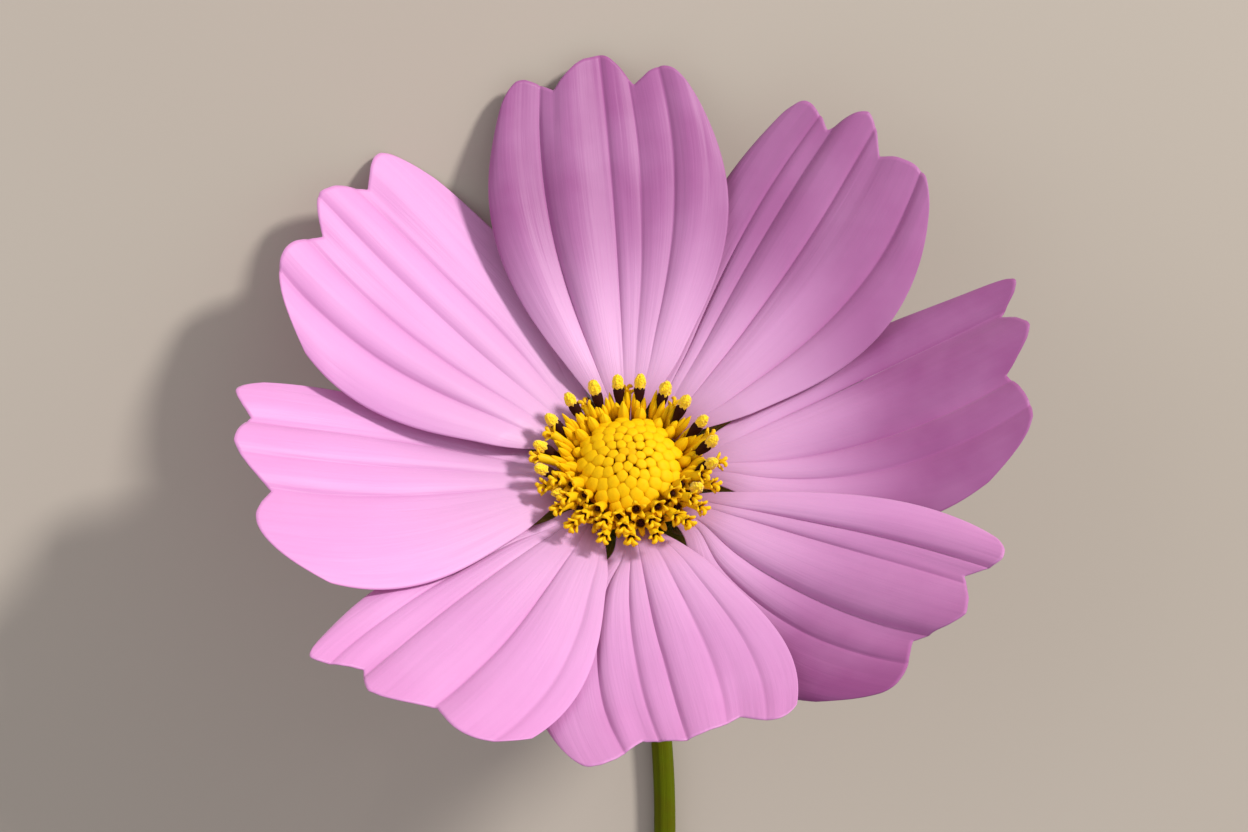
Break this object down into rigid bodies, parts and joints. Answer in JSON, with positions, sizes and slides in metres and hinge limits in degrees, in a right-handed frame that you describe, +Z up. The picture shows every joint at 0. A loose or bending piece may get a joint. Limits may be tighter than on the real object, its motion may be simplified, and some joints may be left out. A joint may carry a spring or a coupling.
{
  "type": "cosmos flower",
  "caption": "Picked cosmos flower with notched pink petals and a yellow disc, lying on petal tips and its bare curved stalk.",
  "frame": {"origin": "on the surface the flower lies on, under the middle of its box", "axes": "+Z up from that surface, +Y towards the petal tips the head rests on, -Y towards the cut end of the stalk, +X to the right as the face of the flower is seen"},
  "size_m": [0.0684, 0.1216, 0.0458],
  "materials": {
    "petal": "satin",
    "disc": "matte",
    "anther": "satin",
    "spent_corolla": "matte",
    "outer_bract": "satin",
    "inner_bract": "satin",
    "stalk": "satin"
  },
  "bodies": {
    "root": {"petal_1": "petal", "petal_2": "petal", "petal_3": "petal", "petal_4": "petal", "petal_5": "petal", "petal_6": "petal", "petal_7": "petal", "petal_8": "petal", "disc_buds": "disc", "opening_floret_01": "anther", "opening_floret_02": "anther", "opening_floret_03": "anther", "opening_floret_04": "anther", "opening_floret_05": "anther", "opening_floret_06": "anther", "opening_floret_07": "anther", "opening_floret_08": "anther", "opening_floret_09": "anther", "opening_floret_10": "anther", "opening_floret_11": "anther", "opening_floret_12": "anther", "opening_floret_13": "anther", "opening_floret_14": "anther", "opening_floret_15": "anther", "opening_floret_16": "anther", "opening_floret_17": "anther", "opening_floret_18": "anther", "opening_floret_19": "anther", "opening_floret_20": "anther", "spent_floret_01": "spent_corolla", "spent_floret_02": "spent_corolla", "spent_floret_03": "spent_corolla", "spent_floret_04": "spent_corolla", "spent_floret_05": "spent_corolla", "spent_floret_06": "spent_corolla", "spent_floret_07": "spent_corolla", "spent_floret_08": "spent_corolla", "spent_floret_09": "spent_corolla", "spent_floret_10": "spent_corolla", "spent_floret_11": "spent_corolla", "spent_floret_12": "spent_corolla", "spent_floret_13": "spent_corolla", "spent_floret_14": "spent_corolla", "outer_bract_1": "outer_bract", "outer_bract_2": "outer_bract", "outer_bract_3": "outer_bract", "outer_bract_4": "outer_bract", "outer_bract_5": "outer_bract", "outer_bract_6": "outer_bract", "outer_bract_7": "outer_bract", "outer_bract_8": "outer_bract", "inner_bract_1": "inner_bract", "inner_bract_2": "inner_bract", "inner_bract_3": "inner_bract", "inner_bract_4": "inner_bract", "inner_bract_5": "inner_bract", "inner_bract_6": "inner_bract", "inner_bract_7": "inner_bract", "inner_bract_8": "inner_bract", "stalk": "stalk"}
  },
  "joints": []
}
